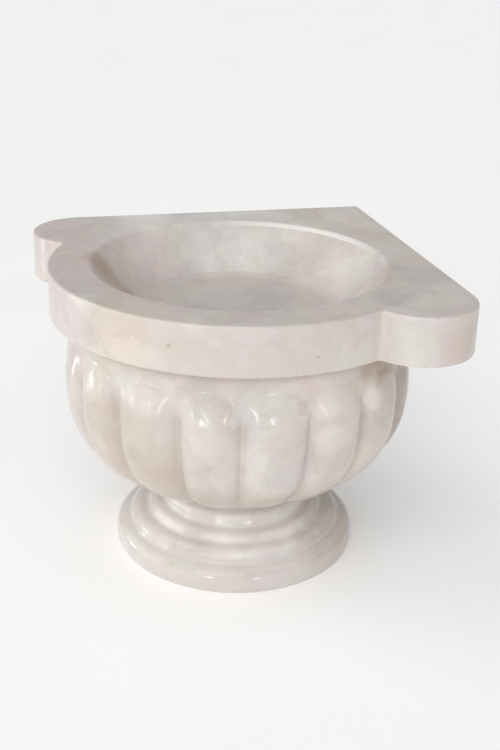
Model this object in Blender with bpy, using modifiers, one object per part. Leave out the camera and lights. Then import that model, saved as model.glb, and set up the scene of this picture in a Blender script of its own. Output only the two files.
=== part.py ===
"""Marble hammam corner basin: a corner slab, a lobed bowl and a turned foot, pinned and bedded together.

Metres, +Z up. The origin is the middle of the foot's underside, on the axis that the foot, the bowl and the
opening share. The two wall faces of the slab look along +X and +Y.
"""

import math

import bpy
import bmesh
import numpy as np

# Basin, and the corner slab round it
OPENING_RADIUS = 0.195
WALL_LEAN = 0.063
LIP_ROUND = 0.004
FRONT_RIM = 0.055
BACK_RIM = 0.055
EAR_RADIUS = 0.070
EAR_PROUD = 0.0055
SLAB_THICKNESS = 0.063
SLAB_EDGE_EASE = 0.002
SLAB_OVERHANG = 0.027

# Lobed bowl
BELLY_DROP = 0.168
BELLY_FULLNESS = 2.6
STRAIGHT_HEIGHT = 0.0015
ARCH_HEIGHT = 0.046
ARCH_RISE = 0.020
ARCH_FULLNESS = 2.5
# Share of the arch's height that is gone in the grooves, where it ends more sharply
ARCH_PINCH = 0.4
# Over 1, the arch leaves the lobe in a curve and meets the band in a crease
ARCH_EASE = 1.5
BAND_HEIGHT = 0.029
LOBE_COUNT = 17
LOBE_PROUD = 0.011
GROOVE_DEPTH = 0.014
LOBE_FULLNESS = 3.2
FIRST_GROOVE_DEG = -102.3
# How far the hand-cut grooves lie from an even spacing, in degrees
GROOVE_DRIFT_DEG = (0, 1.0, 0.7, 1.2, -1.4, 0.5, 1.2, -0.6, -1.0, 0.9, 0.3, -1.3, 0.7, 1.0, -0.2, -0.9, 1.0)

# Foot, from the neck down: how far each step stands out from the one above, and how high it is
NECK_RADIUS = 0.081
NECK_HEIGHT = 0.020
UPPER_LEDGE = 0.019
UPPER_STEP = 0.018
MIDDLE_LEDGE = 0.022
MIDDLE_STEP = 0.0115
LOWER_LEDGE = 0.0265
LOWER_STEP = 0.0165
BASE_LEDGE = 0.020
BASE_SHOULDER = 0.021
BASE_CURL = 0.012
BASE_TUCK = 0.003
STEP_FULLNESS = 3.2
BASE_FULLNESS = 3.0

# Beds of stone adhesive and stainless pins
CLEARANCE = 0.0003
BED_THICKNESS = 0.0014
BED_SETBACK = 0.004
BED_INNER_SETBACK = 0.001
PIN_RADIUS = 0.006
PIN_LENGTH = 0.056
SLAB_PIN_COUNT = 4
SLAB_PIN_INSET = 0.031
SLAB_PIN_FIRST_DEG = 45.0
FOOT_PIN_COUNT = 3
FOOT_PIN_INSET = 0.032
FOOT_PIN_FIRST_DEG = 90.0

# Facets
TURN_STEPS = 56
BED_STEPS = 48
PIN_SIDES = 12
ARC_STEP_DEG = 6.0
EASE_FACETS = 2
STEP_FACETS = 5
BELLY_FACETS = 10
# Crowds the belly's rows of points towards its top, where the lobes' arches end
BELLY_CROWDING = 1.4
# Where a lobe's columns of points lie between its two grooves, at -1 and 1
LOBE_COLUMNS = (-1.0, -0.84, -0.5, 0.0, 0.5, 0.84)
# Rows of points round the opening's lip, as shares of the curve that starts on the flat deck
LIP_ROWS = (0.25, 0.5, 0.75, 1.0)
# Rows of points up a lobe's arched top, as shares of its height
ARCH_ROWS = (1.0, 0.75, 0.5, 0.25, 0.0)

# Limits for the mesh tools: points closer than this are one, edges flatter than FLAT_DEG go,
# edges sharper than the other two angles are eased or shaded as creases
WELD_DISTANCE = 0.00001
FLAT_DEG = 0.5
EASED_DEG = 40.0
CREASE_DEG = 35.0

# The way the middle of the slab's round front faces, opposite the back corner
FRONT_DEG = -135.0

# Radii that follow from the opening outwards and inwards
FLOOR_RADIUS = OPENING_RADIUS - WALL_LEAN
FRONT_RADIUS = OPENING_RADIUS + FRONT_RIM
WALL_OFFSET = OPENING_RADIUS + BACK_RIM
EAR_REACH = FRONT_RADIUS + EAR_PROUD
BAND_RADIUS = FRONT_RADIUS - SLAB_OVERHANG
BELLY_RADIUS = BAND_RADIUS + LOBE_PROUD
BOWL_SEAT_RADIUS = NECK_RADIUS * (1 - GROOVE_DEPTH / BELLY_RADIUS)
SLAB_PIN_RING = BAND_RADIUS - SLAB_PIN_INSET
FOOT_PIN_RING = BOWL_SEAT_RADIUS - FOOT_PIN_INSET

# Heights that follow from the stack
JOINT = BED_THICKNESS + 2 * CLEARANCE
FOOT_HEIGHT = BASE_CURL + BASE_SHOULDER + LOWER_STEP + MIDDLE_STEP + UPPER_STEP + NECK_HEIGHT
SEAT_SHARE = (NECK_RADIUS / BELLY_RADIUS) ** BELLY_FULLNESS
BELLY_HEIGHT = BELLY_DROP * (1 - SEAT_SHARE) ** (1 / BELLY_FULLNESS)
BOWL_HEIGHT = BELLY_HEIGHT + STRAIGHT_HEIGHT + ARCH_HEIGHT + BAND_HEIGHT
BOWL_Z = FOOT_HEIGHT + JOINT
SLAB_Z = BOWL_Z + BOWL_HEIGHT + JOINT

MARBLE_CREAM = (0.70, 0.63, 0.57)
MARBLE_PINK = (0.69, 0.61, 0.56)
MARBLE_GREY = (0.67, 0.62, 0.56)
ADHESIVE_BEIGE = (0.42, 0.34, 0.27)
STEEL_GREY = (0.55, 0.55, 0.57)
MARBLE_ROUGHNESS = 0.22
ADHESIVE_ROUGHNESS = 0.7
STEEL_ROUGHNESS = 0.35


def clear_scene():
    for obj in list(bpy.data.objects):
        bpy.data.objects.remove(obj, do_unlink=True)


def new_collection(name, parent):
    collection = bpy.data.collections.new(name)
    parent.children.link(collection)
    return collection


def new_material(name, colour, roughness, metallic=0.0):
    material = bpy.data.materials.new(name)
    material.use_nodes = True
    shader = material.node_tree.nodes["Principled BSDF"]
    shader.inputs["Base Color"].default_value = (*colour, 1.0)
    shader.inputs["Roughness"].default_value = roughness
    shader.inputs["Metallic"].default_value = metallic
    return material


def add_part(name, mesh, material, collection, origin, z):
    """Puts a mesh in the scene as a named part, at height z above the origin that all parts hang from."""
    obj = bpy.data.objects.new(name, mesh)
    obj.location.z = z
    obj.parent = origin
    mesh.materials.clear()
    mesh.materials.append(material)
    collection.objects.link(obj)
    return obj


def evaluated_mesh(obj):
    """The object's mesh with its modifiers applied."""
    bpy.context.view_layer.update()
    graph = bpy.context.evaluated_depsgraph_get()
    return bpy.data.meshes.new_from_object(obj.evaluated_get(graph))


def smooth_shade(mesh):
    mesh.shade_smooth()
    mesh.set_sharp_from_angle(angle=math.radians(CREASE_DEG))


def turned_mesh(name, profile, steps, closed=False):
    """A solid of revolution about Z. The (radius, height) points run down its outer side."""
    edges = [(i, i + 1) for i in range(len(profile) - 1)]
    if closed:
        edges.append((len(profile) - 1, 0))
    outline = bpy.data.meshes.new(name + "_profile")
    outline.from_pydata([(r, 0.0, z) for r, z in profile], edges, [])
    guide = bpy.data.objects.new(name + "_profile", outline)
    bpy.context.scene.collection.objects.link(guide)
    screw = guide.modifiers.new("Turn", "SCREW")
    screw.axis = "Z"
    screw.steps = steps
    screw.render_steps = steps
    screw.use_merge_vertices = True
    screw.merge_threshold = WELD_DISTANCE
    mesh = evaluated_mesh(guide)
    mesh.name = name
    bpy.data.objects.remove(guide)
    return mesh


def cylinder_mesh(name, radius, length, sides):
    """A cylinder about Z, centred on the origin."""
    mesh = bpy.data.meshes.new(name)
    shape = bmesh.new()
    bmesh.ops.create_cone(
        shape, cap_ends=True, segments=sides, radius1=radius, radius2=radius, depth=length
    )
    shape.to_mesh(mesh)
    shape.free()
    return mesh


def add_cutter(name, mesh, collection, location):
    cutter = bpy.data.objects.new(name, mesh)
    cutter.location = location
    cutter.hide_render = True
    cutter.display_type = "WIRE"
    collection.objects.link(cutter)
    return cutter


def cut(part, name, cutter=None, cutters=None):
    """Cuts one object, or every object of a collection, out of a part."""
    boolean = part.modifiers.new(name, "BOOLEAN")
    boolean.operation = "DIFFERENCE"
    boolean.solver = "EXACT"
    if cutter:
        boolean.object = cutter
    else:
        boolean.operand_type = "COLLECTION"
        boolean.collection = cutters


def arc(centre, radius, start_deg, end_deg):
    """Points along an arc, both ends included."""
    count = max(2, math.ceil(abs(end_deg - start_deg) / ARC_STEP_DEG) + 1)
    angles = np.radians(np.linspace(start_deg, end_deg, count))
    return [(centre[0] + radius * math.cos(a), centre[1] + radius * math.sin(a)) for a in angles]


def shoulder(inner, outer, low, high, fullness, facets):
    """A rounded step in profile, from its upright foot at (outer, low) to its level top at (inner, high)."""
    points = []
    for turn in np.linspace(0.0, math.pi / 2, facets + 1):
        across = max(0.0, math.cos(turn)) ** (2 / fullness)
        up = max(0.0, math.sin(turn)) ** (2 / fullness)
        points.append((inner + (outer - inner) * across, low + (high - low) * up))
    return points


def slab_outline():
    """The slab in plan, anticlockwise. The half by the right wall is mirrored across the diagonal."""
    ear = (WALL_OFFSET - EAR_RADIUS, EAR_RADIUS - EAR_REACH)
    ear_distance = math.hypot(*ear)
    ear_deg = math.degrees(math.atan2(ear[1], ear[0]))
    cosine = (FRONT_RADIUS**2 + ear_distance**2 - EAR_RADIUS**2) / (2 * FRONT_RADIUS * ear_distance)
    crease_deg = ear_deg - math.degrees(math.acos(cosine))
    front = arc((0.0, 0.0), FRONT_RADIUS, FRONT_DEG, crease_deg)
    crease = front[-1]
    crease_from_ear_deg = math.degrees(math.atan2(crease[1] - ear[1], crease[0] - ear[0]))
    half = front + arc(ear, EAR_RADIUS, crease_from_ear_deg, 0.0)[1:]
    corner = [(WALL_OFFSET, WALL_OFFSET)]
    return half + corner + [(y, x) for x, y in reversed(half[1:])]


def slab_mesh():
    """The outline as a filled flat curve with thickness, made a mesh with one face on each flat side."""
    curve = bpy.data.curves.new("slab_outline", "CURVE")
    curve.dimensions = "2D"
    curve.fill_mode = "BOTH"
    curve.extrude = SLAB_THICKNESS / 2
    points = slab_outline()
    spline = curve.splines.new("POLY")
    spline.points.add(len(points) - 1)
    for point, (x, y) in zip(spline.points, points):
        point.co = (x, y, 0.0, 1.0)
    spline.use_cyclic_u = True
    guide = bpy.data.objects.new("slab_outline", curve)
    bpy.context.scene.collection.objects.link(guide)
    mesh = evaluated_mesh(guide)
    bpy.data.objects.remove(guide)
    shape = bmesh.new()
    shape.from_mesh(mesh)
    bmesh.ops.remove_doubles(shape, verts=shape.verts, dist=WELD_DISTANCE)
    flat = math.radians(FLAT_DEG)
    bmesh.ops.dissolve_limit(shape, angle_limit=flat, verts=shape.verts, edges=shape.edges)
    bmesh.ops.translate(shape, verts=shape.verts, vec=(0.0, 0.0, SLAB_THICKNESS / 2))
    bmesh.ops.recalc_face_normals(shape, faces=shape.faces)
    shape.to_mesh(mesh)
    shape.free()
    smooth_shade(mesh)
    return mesh


def opening_profile():
    """The cutter for the basin: a rounded lip at the top, then a tapered wall that runs past the slab."""
    slope = (OPENING_RADIUS - FLOOR_RADIUS) / SLAB_THICKNESS
    lip_drop = LIP_ROUND / math.hypot(1.0, slope)
    past = LIP_ROUND
    points = [(0.0, SLAB_THICKNESS + past), (OPENING_RADIUS + LIP_ROUND, SLAB_THICKNESS + past)]
    for share in LIP_ROWS:
        radius = OPENING_RADIUS + LIP_ROUND * (1 - share) ** 2 - slope * lip_drop * share**2
        points.append((radius, SLAB_THICKNESS - lip_drop * share**2))
    return points + [(FLOOR_RADIUS - slope * past, -past), (0.0, -past)]


def corner_slab(parts, cutters, origin, pin_holes):
    marble = new_material("slab_marble", MARBLE_CREAM, MARBLE_ROUGHNESS)
    slab = add_part("corner_slab", slab_mesh(), marble, parts, origin, SLAB_Z)
    ease = slab.modifiers.new("Eased edges", "BEVEL")
    ease.width = SLAB_EDGE_EASE
    ease.segments = EASE_FACETS
    ease.limit_method = "ANGLE"
    ease.angle_limit = math.radians(EASED_DEG)
    opening = turned_mesh("basin_opening", opening_profile(), TURN_STEPS)
    cut(slab, "Basin", add_cutter("basin_opening", opening, cutters, (0.0, 0.0, SLAB_Z)))
    cut(slab, "Pin holes", cutters=pin_holes)


def groove_angle(index):
    """Where the groove lies that starts lobe index, in radians. It keeps growing past the last lobe."""
    drift = GROOVE_DRIFT_DEG[index % LOBE_COUNT % len(GROOVE_DRIFT_DEG)]
    return math.radians(FIRST_GROOVE_DEG + index * 360.0 / LOBE_COUNT + drift)


def bowl_profile():
    """The crest of a lobe, from the middle of the flat top down to the middle of the flat seat."""
    spring = BELLY_HEIGHT + STRAIGHT_HEIGHT
    rows = [(BELLY_RADIUS, BOWL_HEIGHT)]
    rows += [(BELLY_RADIUS, spring + share * ARCH_HEIGHT) for share in ARCH_ROWS]
    seat_turn = math.acos(math.sqrt(SEAT_SHARE))
    for turn in seat_turn * np.linspace(0.0, 1.0, BELLY_FACETS + 1) ** BELLY_CROWDING:
        out = math.cos(turn) ** (2 / BELLY_FULLNESS)
        down = math.sin(turn) ** (2 / BELLY_FULLNESS)
        rows.append((BELLY_RADIUS * out, BELLY_HEIGHT - BELLY_DROP * down))
    return [(0.0, BOWL_HEIGHT)] + rows + [(0.0, rows[-1][1])]


def lobe_relief(place, height):
    """How far the surface lies behind the belly's crest. place is -1 and 1 in a lobe's two grooves.

    The lobe sinks into the plain band along a soft arch, which is lowest in the grooves.
    """
    away = abs(place)
    arch_top = BOWL_HEIGHT - BAND_HEIGHT - ARCH_RISE * away**ARCH_FULLNESS
    arch_height = ARCH_HEIGHT * (1 - ARCH_PINCH * away**2)
    share = min(1.0, max(0.0, 1.0 + (height - arch_top) / arch_height))
    sunk = share**ARCH_EASE
    return sunk * LOBE_PROUD + (1 - sunk) * GROOVE_DEPTH * away**LOBE_FULLNESS


def carve_lobes(mesh):
    """Moves the turned bowl's columns of points to the lobes and lets the surface in between them."""
    columns = len(LOBE_COLUMNS)
    for vertex in mesh.vertices:
        x, y, z = vertex.co
        radius = math.hypot(x, y)
        column = round(math.atan2(y, x) / (2 * math.pi) * LOBE_COUNT * columns) % (LOBE_COUNT * columns)
        lobe, row = divmod(column, columns)
        place = LOBE_COLUMNS[row]
        start, end = groove_angle(lobe), groove_angle(lobe + 1)
        angle = start + (end - start) * (place + 1) / 2
        radius -= radius / BELLY_RADIUS * lobe_relief(place, z)
        vertex.co = (radius * math.cos(angle), radius * math.sin(angle), z)


def lobed_bowl(parts, origin, slab_pin_holes, foot_pin_holes):
    marble = new_material("bowl_marble", MARBLE_PINK, MARBLE_ROUGHNESS)
    mesh = turned_mesh("lobed_bowl", bowl_profile(), LOBE_COUNT * len(LOBE_COLUMNS))
    carve_lobes(mesh)
    smooth_shade(mesh)
    bowl = add_part("lobed_bowl", mesh, marble, parts, origin, BOWL_Z)
    cut(bowl, "Slab pin holes", cutters=slab_pin_holes)
    cut(bowl, "Foot pin holes", cutters=foot_pin_holes)


def foot_profile():
    """The foot from the middle of its top, over the neck and the steps, to the middle of its underside."""
    steps = [
        (UPPER_LEDGE, UPPER_STEP, STEP_FULLNESS),
        (MIDDLE_LEDGE, MIDDLE_STEP, STEP_FULLNESS),
        (LOWER_LEDGE, LOWER_STEP, STEP_FULLNESS),
        (BASE_LEDGE, BASE_SHOULDER, BASE_FULLNESS),
    ]
    radius, height = NECK_RADIUS, FOOT_HEIGHT - NECK_HEIGHT
    points = [(0.0, FOOT_HEIGHT), (BOWL_SEAT_RADIUS, FOOT_HEIGHT)]
    for ledge, rise, fullness in steps:
        points += reversed(shoulder(radius, radius + ledge, height - rise, height, fullness, STEP_FACETS))
        radius += ledge
        height -= rise
    curl = shoulder(radius - BASE_TUCK, radius, height, 0.0, BASE_FULLNESS, STEP_FACETS)
    return points + curl[1:] + [(0.0, 0.0)]


def foot(parts, origin, pin_holes):
    marble = new_material("foot_marble", MARBLE_GREY, MARBLE_ROUGHNESS)
    mesh = turned_mesh("foot", foot_profile(), TURN_STEPS)
    smooth_shade(mesh)
    part = add_part("foot", mesh, marble, parts, origin, 0.0)
    cut(part, "Pin holes", cutters=pin_holes)


def bed(name, inner, outer, z, parts, origin, pin_holes):
    """A flat layer of adhesive with its underside at z. It is a ring, or a disc where inner is 0."""
    top, bottom = BED_THICKNESS, 0.0
    if inner:
        profile = [(inner, top), (outer, top), (outer, bottom), (inner, bottom)]
    else:
        profile = [(0.0, top), (outer, top), (outer, bottom), (0.0, bottom)]
    mesh = turned_mesh(name, profile, BED_STEPS, closed=bool(inner))
    adhesive = new_material(name + "_adhesive", ADHESIVE_BEIGE, ADHESIVE_ROUGHNESS)
    part = add_part(name, mesh, adhesive, parts, origin, z)
    cut(part, "Pin holes", cutters=pin_holes)


def pin_set(name, count, ring_radius, first_deg, joint_z, parts, cutters, origin):
    """Pins standing across a joint on a ring, and the holes that they sit in, as a collection of cutters."""
    holes = new_collection(name + "_holes", cutters)
    hole = cylinder_mesh(name + "_hole", PIN_RADIUS + CLEARANCE, PIN_LENGTH + 2 * CLEARANCE, PIN_SIDES)
    for index in range(count):
        angle = math.radians(first_deg + index * 360.0 / count)
        x, y = ring_radius * math.cos(angle), ring_radius * math.sin(angle)
        label = f"{name}_{index + 1}"
        add_cutter(label + "_hole", hole, holes, (x, y, joint_z))
        mesh = cylinder_mesh(label, PIN_RADIUS, PIN_LENGTH, PIN_SIDES)
        smooth_shade(mesh)
        steel = new_material(label + "_steel", STEEL_GREY, STEEL_ROUGHNESS, metallic=1.0)
        pin = add_part(label, mesh, steel, parts, origin, joint_z)
        pin.location.x = x
        pin.location.y = y
    return holes


def main():
    clear_scene()
    scene_collection = bpy.context.scene.collection
    parts = new_collection("marble_hammam_basin", scene_collection)
    cutters = new_collection("cutters", scene_collection)
    origin = bpy.data.objects.new("basin_origin", None)
    parts.objects.link(origin)

    slab_joint_z = SLAB_Z - JOINT / 2
    foot_joint_z = BOWL_Z - JOINT / 2
    slab_holes = pin_set(
        "slab_dowel", SLAB_PIN_COUNT, SLAB_PIN_RING, SLAB_PIN_FIRST_DEG, slab_joint_z, parts, cutters, origin
    )
    foot_holes = pin_set(
        "foot_dowel", FOOT_PIN_COUNT, FOOT_PIN_RING, FOOT_PIN_FIRST_DEG, foot_joint_z, parts, cutters, origin
    )
    corner_slab(parts, cutters, origin, slab_holes)
    lobed_bowl(parts, origin, slab_holes, foot_holes)
    foot(parts, origin, foot_holes)
    slab_bed_z = SLAB_Z - JOINT + CLEARANCE
    foot_bed_z = BOWL_Z - JOINT + CLEARANCE
    bed_inner = FLOOR_RADIUS + BED_INNER_SETBACK
    bed("slab_bed", bed_inner, BAND_RADIUS - BED_SETBACK, slab_bed_z, parts, origin, slab_holes)
    bed("foot_bed", 0.0, BOWL_SEAT_RADIUS - BED_SETBACK, foot_bed_z, parts, origin, foot_holes)


main()
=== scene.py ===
import math

import bpy
import numpy as np
from mathutils import Matrix, Vector, noise


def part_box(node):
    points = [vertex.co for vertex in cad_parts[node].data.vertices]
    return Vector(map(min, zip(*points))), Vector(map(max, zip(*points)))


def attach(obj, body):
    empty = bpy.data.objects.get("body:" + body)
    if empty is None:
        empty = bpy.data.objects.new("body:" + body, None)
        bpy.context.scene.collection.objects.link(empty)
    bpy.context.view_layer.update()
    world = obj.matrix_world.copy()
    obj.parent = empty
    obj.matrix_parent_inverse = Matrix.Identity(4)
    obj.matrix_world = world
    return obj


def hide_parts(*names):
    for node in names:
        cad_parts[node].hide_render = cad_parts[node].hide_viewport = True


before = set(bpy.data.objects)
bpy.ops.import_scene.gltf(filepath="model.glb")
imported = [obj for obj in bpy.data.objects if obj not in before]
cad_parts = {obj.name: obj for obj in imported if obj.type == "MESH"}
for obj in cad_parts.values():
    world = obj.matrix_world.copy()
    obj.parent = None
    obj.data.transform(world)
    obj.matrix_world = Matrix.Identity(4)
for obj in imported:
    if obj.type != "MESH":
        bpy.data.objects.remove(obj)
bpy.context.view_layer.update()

# Sizes of the stones, as in the CAD model
OPENING_RADIUS = 0.195
FLOOR_RADIUS = 0.132
LIP_ROUND = 0.004
FRONT_RADIUS = 0.250
FRONT_MIDDLE_DEG = -135.0
WALL_OFFSET = 0.250
EAR_RADIUS = 0.070
EAR_REACH = 0.2553
BAND_RADIUS = 0.223
BAND_HEIGHT = 0.029
BELLY_RADIUS = 0.234
BELLY_DROP = 0.168
BELLY_FULLNESS = 2.6
ARCH_HEIGHT = 0.046
ARCH_RISE = 0.020
ARCH_FULLNESS = 2.5
ARCH_PINCH = 0.4
ARCH_EASE = 1.5
LOBE_COUNT = 17
LOBE_PROUD = BELLY_RADIUS - BAND_RADIUS
LOBE_FULLNESS = 3.2
GROOVE_DEPTH = 0.014
FIRST_GROOVE_DEG = -102.3
GROOVE_DRIFT_DEG = (
    0, 1.0, 0.7, 1.2, -1.4, 0.5, 1.2, -0.6, -1.0,
    0.9, 0.3, -1.3, 0.7, 1.0, -0.2, -0.9, 1.0,
)
NECK_RADIUS = 0.081
NECK_HEIGHT = 0.020
# Steps of the foot from the neck down: ledge, height, fullness of the rounded edge
FOOT_STEPS = (
    (0.019, 0.018, 3.2),
    (0.022, 0.0115, 3.2),
    (0.0265, 0.0165, 3.2),
    (0.020, 0.021, 3.0),
)
BASE_TUCK = 0.003
BASE_FULLNESS = 3.0

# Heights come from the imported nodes
SLAB_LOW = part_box("corner_slab")[0].z
SLAB_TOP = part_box("corner_slab")[1].z
BOWL_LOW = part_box("lobed_bowl")[0].z
BOWL_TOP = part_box("lobed_bowl")[1].z
FOOT_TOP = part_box("foot")[1].z
WALL_SLOPE = (OPENING_RADIUS - FLOOR_RADIUS) / (SLAB_TOP - SLAB_LOW)
SEAT_SHARE = (NECK_RADIUS / BELLY_RADIUS) ** BELLY_FULLNESS
SEAT_RADIUS = NECK_RADIUS * (1 - GROOVE_DEPTH / BELLY_RADIUS)
BELLY_TOP = BOWL_LOW + BELLY_DROP * (1 - SEAT_SHARE) ** (1 / BELLY_FULLNESS)
ARCH_APEX = BOWL_TOP - BAND_HEIGHT

# How far the hand-worked stone strays from the true shape, always inwards, and the length of its waves
SLAB_STRAY = 0.0005
SLAB_WAVE = 0.045
LOBE_STRAY = 0.0008
LOBE_WAVE = 0.040
FOOT_STRAY = 0.0006
FOOT_WAVE = 0.032
FOOT_WAVE_STRETCH = 1.6
# Finer waves lie on top of these: their length and height, as shares of those of the main waves
FINE_WAVE = 0.43
FINE_SHARE = 0.5

# Eased edges
TOP_EASE = 0.0032
LOW_EASE = 0.002
RIM_EASE = 0.002
RIM_DROP = 0.001
SEAT_EASE = 0.001
SEAT_DROP = 0.0008
GROOVE_ROUND = 0.045
# How far the polish has rounded the foot's edges and inner corners, how many times that distance
# a point's neighbours count, and the step of the profile
FOOT_WEAR = 0.0042
WEAR_REACH = 3
PROFILE_STEP = 0.0016

# How far down the bowl the painted shade under the slab's overhang reaches
OVERHANG_SHADE_DROP = 0.022

# Pointing in the joint round the floor
COVE_RADIUS = 0.022
COVE_GAP = 0.0001
COVE_TONGUE = 0.0006
JOINT_GAP = 0.0003

# Rows and columns of the meshes
SHARP_ANGLE_DEG = 38.0
OUTLINE_STEP = 0.004
OUTLINE_SMOOTHING = 2
TURN_WINDOW = 21
EASE_ROWS = 6
SIDE_ROWS = 14
DECK_ROWS = 9
LIP_ROWS = 8
WALL_ROWS = 20
UNDER_ROWS = 6
COVE_ROWS = 13
COVE_COLUMNS = 240
BAND_ROWS = 30
BELLY_ROWS = 56
BELLY_CROWDING = 1.3
LOBE_COLUMNS = 24
NECK_ROWS = 7
STEP_FACETS = 14
BASE_FACETS = 9
FOOT_COLUMNS = 288
# Rings of points on the flat tops and undersides of the bowl and the foot
BOWL_TOP_RINGS = (0.002, 0.03, 0.06, 0.09, 0.12, 0.15, 0.19, BAND_RADIUS - RIM_EASE)
BOWL_SEAT_RINGS = (0.05, 0.02, 0.002)
FOOT_TOP_RINGS = (0.002, 0.05, SEAT_RADIUS - SEAT_EASE)
FOOT_BASE_RINGS = (0.08, 0.002)

# Camera, fitted to the photograph's frame of 500 x 750
CAMERA_AZIMUTH_DEG = -14.79
CAMERA_ELEVATION_DEG = 22.96
CAMERA_ROLL_DEG = 1.57
CAMERA_DISTANCE = 1.5365
CAMERA_TARGET = (0.0169, -0.0045, 0.243)
CAMERA_SENSOR = 36.0
CAMERA_LENS = 53.76

# Soft suns: name, azimuth, elevation, strength
SUNS = (
    ("left_softbox", 160.0, 20.0, 1.02),
    ("front_softbox", -120.0, 40.0, 1.12),
    ("low_softbox", -120.0, 12.0, 0.12),
    ("right_softbox", -40.0, 12.0, 0.18),
    ("top_softbox", -105.0, 75.0, 0.26),
)
SUN_ANGLE_DEG = 50.0
# Small panels of light that stand round the stone: name, azimuth, power, distance, height, size
WINDOWS = (
    ("left_window", 156.0, 0.9, 1.5, 0.09, 0.15),
    ("left_front_window", -176.0, 1.6, 2.5, 0.15, 0.30),
    ("mid_window", -152.0, 1.3, 2.5, 0.15, 0.30),
    ("front_window", -125.0, 3.0, 2.5, 0.15, 0.30),
    ("right_window", -86.0, 2.5, 2.5, 0.15, 0.30),
)
SKY_STRENGTH = 0.40
WHITE_LIGHT = (1.0, 1.0, 1.0, 1.0)
# The floor
STAGE_RADIUS = 30.0
STAGE_SIDES = 96
STAGE_TINTS = ((0.94, 0.94, 0.938, 1.0), (0.96, 0.96, 0.958, 1.0))
STAGE_ROUGHNESS = 0.8
STAGE_GLOW = 0.10

# Tints of the marble
CREAM = (0.640, 0.590, 0.546, 1.0)
LILAC_GREY = (0.612, 0.572, 0.554, 1.0)
TEAL_GREY = (0.606, 0.591, 0.553, 1.0)
GREEN_GREY = (0.617, 0.598, 0.532, 1.0)
MAUVE = (0.617, 0.540, 0.530, 1.0)
PEACH = (0.668, 0.589, 0.524, 1.0)
BEIGE = (0.598, 0.523, 0.452, 1.0)
WHITE = (0.740, 0.712, 0.676, 1.0)
DARK_GREY = (0.520, 0.490, 0.478, 1.0)
# Rust brown for stains on the basin's left wall and the bowl's right side, which are partly painted
# shade
RUST_AND_SHADE = (0.505, 0.384, 0.308, 1.0)
# Dark brown for the grooves, specks and dots, and for painted shade under the slab, at the seat and
# under the right ear
SOIL_AND_SHADE = (0.400, 0.318, 0.243, 1.0)
PINK = (0.740, 0.660, 0.648, 1.0)
# Umber for painted shade on the right of the bowl and the foot, partly the stone's own tone
UMBER_SHADE = (0.470, 0.415, 0.375, 1.0)
DARK_BEIGE = (0.548, 0.474, 0.404, 1.0)
BRIGHT = (0.850, 0.820, 0.785, 1.0)
# Pale tint for painted light on the foot's ledges and upper steps
PALE_LIGHT = (0.920, 0.905, 0.875, 1.0)
COOL_WHITE = (0.740, 0.728, 0.705, 1.0)
FAWN = (0.550, 0.496, 0.438, 1.0)
# Tints of the adhesive and the pins
ADHESIVE_TINTS = ((0.66, 0.60, 0.54, 1.0), (0.56, 0.50, 0.44, 1.0))
STEEL_TINTS = ((0.50, 0.50, 0.52, 1.0), (0.62, 0.62, 0.63, 1.0))

# Shades of the large blocks and the small blotches, which the colour under them is multiplied by
BLOCKS = (
    (0.15, (0.955, 0.935, 0.920, 1.0)),
    (0.40, (1.000, 0.980, 0.965, 1.0)),
    (0.60, (0.985, 0.985, 0.965, 1.0)),
    (0.85, (1.050, 1.050, 1.045, 1.0)),
)
BLOTCHES = (
    (0.15, (0.95, 0.93, 0.945, 1.0)),
    (0.35, (1.01, 0.96, 0.94, 1.0)),
    (0.50, (1.00, 1.00, 1.00, 1.0)),
    (0.65, (0.985, 0.99, 0.95, 1.0)),
    (0.85, (1.06, 1.06, 1.06, 1.0)),
)
# Layers of blocks and blotches: scale, strength, softness of the edges, shades
CELL_LAYERS = (
    (13.0, 0.80, 0.06, BLOCKS),
    (26.0, 0.55, 0.3, BLOTCHES),
    (60.0, 0.40, 0.4, BLOTCHES),
)
# Clouds over the cream and grey ground: move in the noise, scale, tint
CLOUDS = (
    ((3.1, 0.0, 0.0), 9.0, MAUVE),
    ((0.0, 5.7, 0.0), 6.0, TEAL_GREY),
    ((0.0, 0.0, 7.9), 8.0, PEACH),
)

# Noises: scale, detail, and where they differ from the usual, roughness and distortion
GROUND_NOISE = (7.0, 4.0)
CLOUD_DETAIL = 3.0
CRYSTAL_NOISE = (60.0, 6.0, 0.62)
VEIN_NOISE = (5.0, 7.0, 0.6, 0.8)
POLISH_NOISE = (22.0, 5.0)
SWELL_NOISE = (38.0, 2.0)
GRAIN_NOISE = (260.0, 2.0)
ADHESIVE_NOISE = (90.0, 4.0)
ADHESIVE_POLISH_NOISE = (140.0, 3.0)
ADHESIVE_GRAIN_NOISE = (400.0, 3.0)
STEEL_NOISE = (1500.0, 2.0)
STEEL_DRAW = (1.0, 1.0, 0.03)
STAGE_NOISE = (3.0, 4.0)
# Noises that push a pattern about: scale, detail, reach
CLOUD_SWAY = (16.0, 5.0, 0.05)
SPECK_SWAY = (300.0, 2.0, 0.006)
NOISE_MIDDLE = (0.5, 0.5, 0.5)
# Heights of the bumps
SWELL = 0.0010
GRAIN = 0.00012
ADHESIVE_GRAIN = 0.0002
STEEL_LINES = 0.00005

# Sockets of a colour mix: the factor and the two colours, and the result
MIX_INPUTS = (0, 6, 7)
MIX_RESULT = 2

# Spans: a low and a high reading, and what is made of each
MIDDLE = (0.3, 0.7)
GROUND_SPAN = (0.42, 0.62, 0.0, 1.0)
CLOUD_SPAN = (0.50, 0.70, 0.0, 0.7)
CRYSTAL_SPAN = (*MIDDLE, 0.0, 0.10)
VEIN_SPAN = (0.0, 0.02, 0.12, 0.0)
DOT_SPAN = (0.03, 0.12, 0.45, 0.0)
MOTTLE_SPAN = (0.3, 0.6, 0.4, 1.0)
GROOVE_SPAN = (0.45, 1.0, 0.0, 0.20)
GROOVE_ROUGH_SPAN = (0.6, 1.0, 0.0, 0.15)
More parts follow.
